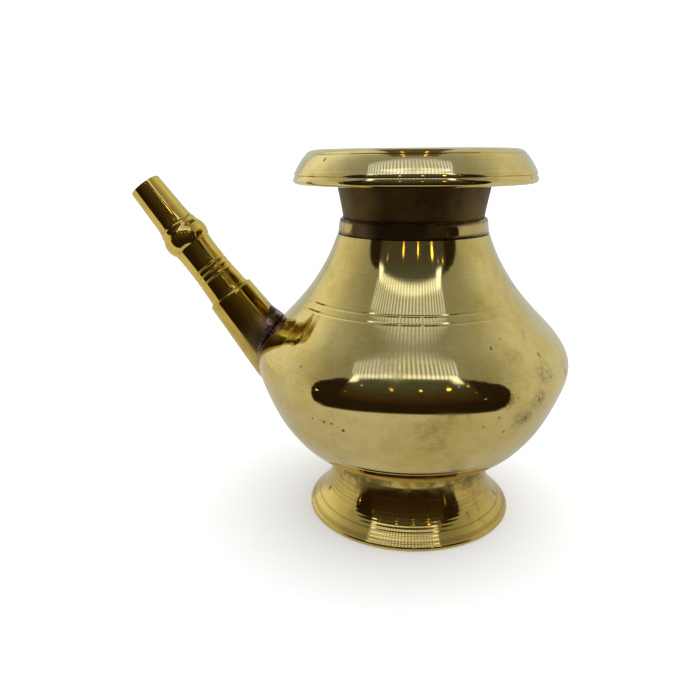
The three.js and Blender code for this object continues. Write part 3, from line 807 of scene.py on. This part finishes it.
# a gap in the tent's roof, with two lamps behind it: right and forward of straight up, at a height of 1
roofGap = {
    "half": 0.25, "front": 0.17, "back": (-1.0, -0.9), "colour": (0.10, 0.085, 0.045, 1), "soft": 0.03,
    "lamps": [-0.11, 0.11], "lampHalf": 0.02, "lampFront": 0.20, "lampBack": (-0.2, -0.1),
    "lampGlow": 1.6,
}
# in metres: its edge bows towards the pot at the sides, and its painted reflection carries a painted
# shadow of the pot, darker near than far
floorLook = {
    "size": 6.0, "paper": (0.86, 0.86, 0.86, 1), "rough": 0.9, "paintedFloorReflection": (0.50, 0.49, 0.47, 1),
    "edge": -0.171, "bow": 5.4, "nearEdge": -0.092, "fade": 0.02, "widening": 0.036,
    "near": 0.05, "far": 0.22, "nearPaintedShade": 1.05, "farPaintedShade": 1.28,
}


def buildStage():
    deselectAll()
    bpy.ops.mesh.primitive_plane_add(size=floorLook["size"])
    floor = bpy.context.object
    floor.name = "floor"
    paper = bpy.data.materials.new("whitePaper")
    paper.use_nodes = True
    tree = paper.node_tree
    shader = tree.nodes["Principled BSDF"]
    shader.inputs["Base Color"].default_value = floorLook["paper"]
    shader.inputs["Roughness"].default_value = floorLook["rough"]
    # a painted reflection for the polished metal to mirror: the tent's own floor, glowing a dim grey to
    # glossy rays, which ends in a bow at the opening
    where = add(tree, "ShaderNodeTexCoord").outputs["Object"]
    x, y, z = splitVector(tree, where)
    x = calc(tree, "SUBTRACT", x, potX)
    edge = calc(tree, "MULTIPLY_ADD", times(tree, x, x), floorLook["bow"], floorLook["edge"])
    past = calc(tree, "SUBTRACT", y, calc(tree, "MINIMUM", edge, floorLook["nearEdge"]))
    halfFade = floorLook["fade"] / 2
    away = distance(tree, where, (potX, 0, 0))
    # the way round as the belly's front sees it, a little wider than from the axis
    beside = calc(tree, "ARCTAN2", calc(tree, "ABSOLUTE", x), times(tree, y, -1.0))
    beside = calc(tree, "ADD", beside, calc(tree, "DIVIDE", floorLook["widening"], away))
    limit = math.radians(room["half"])
    beyond = ramp(tree, beside, limit - 0.01, limit + 0.01)
    inside = calc(tree, "MAXIMUM", ramp(tree, past, -halfFade, halfFade), beyond)
    # a painted shadow: the glowing floor is darker near the pot than far off
    shade = ramp(tree, away, floorLook["near"], floorLook["far"], floorLook["nearPaintedShade"],
                 floorLook["farPaintedShade"])
    paintedFloorReflection = mixColour(tree, 1.0, floorLook["paintedFloorReflection"], grey(tree, shade), "MULTIPLY")
    paintedReflectionGlow = add(tree, "ShaderNodeEmission", None, Color=mixColour(tree, inside, room["flank"], paintedFloorReflection))
    rays = add(tree, "ShaderNodeLightPath").outputs
    # the camera sees white paper, the polished metal a glowing painted copy
    both = add(tree, "ShaderNodeMixShader", None, i0=rays["Is Glossy Ray"], i1=shader.outputs[0],
               i2=paintedReflectionGlow.outputs[0])
    tree.links.new(both.outputs[0], tree.nodes["Material Output"].inputs["Surface"])
    floor.data.materials.append(paper)


def lampGlow(tree, strength):
    return mixColour(tree, 1.0, room["lampColour"], grey(tree, strength), "MULTIPLY")


def drawRoom(tree, turnRound, rise, direction):
    # its colour, and a mask of where the opening lets it be seen
    side = calc(tree, "ABSOLUTE", turnRound)
    stops = room["middle"]
    low, high = stops[0][0], stops[-1][0]
    shares = add(tree, "ShaderNodeValToRGB", None, Fac=ramp(tree, rise, low, high))
    shares.inputs[0].links[0].from_node.interpolation_type = "LINEAR"
    elements = shares.color_ramp.elements
    for i, (angle, colour) in enumerate(stops):
        if i >= 2:
            elements.new(1.0)
        elements[i].position = (angle - low) / (high - low)
        elements[i].color = colour
    shift = ragged(tree, direction, room["raggedScale"], room["ragged"] * 2, 3.0, 0.6)
    side = calc(tree, "ADD", side, shift)
    middleHalf, soft = room["middleHalf"], room["soft"]
    flank = ramp(tree, side, middleHalf - room["flankSoft"], middleHalf + room["flankSoft"])
    seen = mixColour(tree, flank, shares.outputs[0], room["flank"])
    for across, up, power, size in room["lamps"]:
        a = calc(tree, "DIVIDE", calc(tree, "SUBTRACT", turnRound, across), size)
        b = calc(tree, "DIVIDE", calc(tree, "SUBTRACT", rise, up), size)
        lamp = ramp(tree, calc(tree, "MULTIPLY_ADD", a, a, times(tree, b, b)), 0.0, 1.0, power, 0.0)
        seen = mixColour(tree, 1.0, seen, lampGlow(tree, lamp), "ADD")
    over = calc(tree, "MAXIMUM", calc(tree, "SUBTRACT", rise, room["narrowsFrom"]), 0.0)
    edge = calc(tree, "MULTIPLY_ADD", times(tree, over, over), -room["narrowing"], room["half"])
    lean = ramp(tree, turnRound, -room["topLeanHalf"], room["topLeanHalf"], -room["topLean"],
                room["topLean"])
    top = calc(tree, "ADD", calc(tree, "ADD", lean, room["top"]), shift)
    # the middle reaches up to the strip of light
    middle = ramp(tree, side, middleHalf - soft, middleHalf + soft, room["middleRise"], 0.0)
    top = calc(tree, "ADD", top, middle)
    opening = times(tree, ramp(tree, calc(tree, "SUBTRACT", side, edge), -soft, soft, 1.0, 0.0),
                    ramp(tree, calc(tree, "SUBTRACT", rise, top), -soft, soft, 1.0, 0.0))
    return seen, opening


def drawPanel(tree, east, south, up):
    # its light, and a mask of its place
    ahead = calc(tree, "MAXIMUM", south, 0.02)
    u, v = calc(tree, "DIVIDE", east, ahead), calc(tree, "DIVIDE", up, ahead)
    u = calc(tree, "MULTIPLY_ADD", v, panel["lean"], calc(tree, "ADD", u, panel["shift"]))
    width = calc(tree, "ABSOLUTE", u)
    bowed = calc(tree, "MULTIPLY_ADD", times(tree, u, u), -panel["stripBow"], v)
    soft = panel["soft"]
    below = ramp(tree, bowed, panel["stripHigh"] - soft, panel["stripHigh"] + soft, 1.0, 0.0)
    within = ramp(tree, width, panel["stripHalf"] - soft, panel["stripHalf"] + soft, 1.0, 0.0)
    place = calc(tree, "DIVIDE", u, calc(tree, "MULTIPLY_ADD", v, panel["widening"], panel["narrow"]))
    columns = calc(tree, "SINE", times(tree, place, math.pi * panel["columns"]))
    columns = ramp(tree, columns, *panel["columnRange"])
    # the columns cross the strip, but not its turned-down ends
    blur = panel["legSoft"]
    legs = times(tree, ramp(tree, width, panel["legIn"] - blur, panel["legIn"] + blur), within, below,
                 ramp(tree, v, panel["legLow"] - blur, panel["legLow"] + blur))
    above = ramp(tree, bowed, panel["stripLow"] - soft, panel["stripLow"] + soft)
    strip = times(tree, above, below, within)
    crossed = calc(tree, "MULTIPLY_ADD", columns, 1 - panel["gap"], panel["gap"])
    strip = calc(tree, "MAXIMUM", times(tree, strip, crossed), legs)
    far = ramp(tree, v, panel["stripHigh"], panel["top"])
    bright = calc(tree, "MULTIPLY_ADD", far, panel["farBright"] - panel["bright"], panel["bright"])
    dark = calc(tree, "MULTIPLY_ADD", far, panel["farDark"] - panel["dark"], panel["dark"])
    lit = calc(tree, "MULTIPLY_ADD", calc(tree, "SUBTRACT", bright, dark), columns, dark)
    top, topSoft = panel["top"], panel["topSoft"]
    field = times(tree, ramp(tree, calc(tree, "ABSOLUTE", place), 0.98, 1.02, 1.0, 0.0),
                  ramp(tree, bowed, panel["stripHigh"] - soft, panel["stripHigh"] + soft),
                  ramp(tree, v, top - topSoft, top + topSoft, 1.0, 0.0))
    light = calc(tree, "ADD", times(tree, lit, field), times(tree, strip, panel["stripGlow"]))
    seen = mixColour(tree, 1.0, panel["tint"], grey(tree, light), "MULTIPLY")
    return seen, calc(tree, "MAXIMUM", field, strip)


def drawRoofGap(tree, east, south, up):
    # its dim light with the two lamps, and a mask of its place
    high = calc(tree, "MAXIMUM", up, 0.02)
    across, forward = calc(tree, "DIVIDE", east, high), calc(tree, "DIVIDE", south, high)
    soft = roofGap["soft"]
    width = calc(tree, "ABSOLUTE", across)
    mask = times(tree, ramp(tree, width, roofGap["half"] - soft, roofGap["half"] + soft, 1.0, 0.0),
                 ramp(tree, forward, roofGap["front"] - soft, roofGap["front"] + soft, 1.0, 0.0),
                 ramp(tree, forward, *roofGap["back"]))
    lampFront = roofGap["lampFront"]
    lampReach = times(tree, ramp(tree, forward, lampFront - soft, lampFront + soft, 1.0, 0.0),
                      ramp(tree, forward, *roofGap["lampBack"]))
    seen = roofGap["colour"]
    for place in roofGap["lamps"]:
        lamp = times(tree, bump(tree, across, place, roofGap["lampHalf"]), lampReach)
        seen = mixColour(tree, 1.0, seen, lampGlow(tree, times(tree, lamp, roofGap["lampGlow"])), "ADD")
        mask = calc(tree, "MAXIMUM", mask, lamp)
    return seen, mask


def buildLight():
    # a white tent, open at the front to a dark room, with a lit panel over the opening
    world = bpy.data.worlds.new("lightTent")
    bpy.context.scene.world = world
    world.use_nodes = True
    tree = world.node_tree
    direction = add(tree, "ShaderNodeTexCoord").outputs["Generated"]
    east, north, up = splitVector(tree, direction)
    south = times(tree, north, -1.0)
    turnRound = times(tree, calc(tree, "ARCTAN2", east, south), 180 / math.pi)
    rise = times(tree, calc(tree, "ARCSINE", up), 180 / math.pi)
    side = calc(tree, "ABSOLUTE", turnRound)
    folds = ramp(tree, noise(tree, direction, tent["foldScale"], 3.0, 0.6), *tent["foldRange"])
    folds = times(tree, folds, ramp(tree, rise, tent["foldTop"], 0.0))
    seen = mixColour(tree, folds, tent["walls"], tent["lowWalls"])
    gain = ramp(tree, turnRound, tent["leftFull"], tent["leftFrom"], tent["leftGain"], 1.0)
    seen = mixColour(tree, 1.0, seen, grey(tree, gain), "MULTIPLY")
    behind = ramp(tree, side, tent["backFrom"], tent["backFull"])
    seen = mixColour(tree, behind, seen, tent["backWalls"])
    # the walls are darker towards the opening and the roof
    forward = calc(tree, "MULTIPLY_ADD", up, tent["shadeLean"], south)
    shade = ramp(tree, forward, tent["shadeFrom"], tent["shadeFull"], tent["backShade"],
                 tent["frontShade"])
    seen = mixColour(tree, 1.0, seen, grey(tree, shade), "MULTIPLY")
    roomColour, opening = drawRoom(tree, turnRound, rise, direction)
    seen = mixColour(tree, opening, seen, roomColour)
    panelLight, inPanel = drawPanel(tree, east, south, up)
    seen = mixColour(tree, inPanel, seen, panelLight)
    dim, inGap = drawRoofGap(tree, east, south, up)
    seen = mixColour(tree, inGap, seen, dim)
    # the daylight comes a little more from the right
    lean = tent["daylightLean"]
    day = times(tree, ramp(tree, east, -1.0, 1.0, 1 - lean, 1 + lean), tent["daylight"])
    rays = add(tree, "ShaderNodeLightPath").outputs
    light = mixColour(tree, rays["Is Glossy Ray"], grey(tree, day), seen)
    tree.links.new(light, tree.nodes["Background"].inputs["Color"])


# metres, degrees, and the focal length as a share of the sensor's width
view = {"back": -0.265, "height": 0.1475, "yaw": 5.55, "pitch": 16.5, "roll": -0.42, "focal": 650 / 700}


def buildCamera():
    yaw, pitch, roll = (math.radians(view[key]) for key in ("yaw", "pitch", "roll"))
    ahead = Vector((-math.sin(yaw) * math.cos(pitch), math.cos(yaw) * math.cos(pitch), -math.sin(pitch)))
    right = Vector((math.cos(yaw), math.sin(yaw), 0))
    up = right.cross(ahead)
    tiltedRight = right * math.cos(roll) + up * math.sin(roll)
    tiltedUp = up * math.cos(roll) - right * math.sin(roll)
    turn = Matrix((tiltedRight, tiltedUp, -ahead)).transposed()
    bpy.ops.object.camera_add(location=(potX, view["back"], view["height"]), rotation=turn.to_euler())
    camera = bpy.context.object
    camera.data.lens = camera.data.sensor_width * view["focal"]
    camera.data.clip_start = 0.01
    bpy.context.scene.camera = camera
    bpy.context.scene.view_settings.view_transform = "Standard"


buildStage()
buildLight()
buildCamera()
print("stage lit")
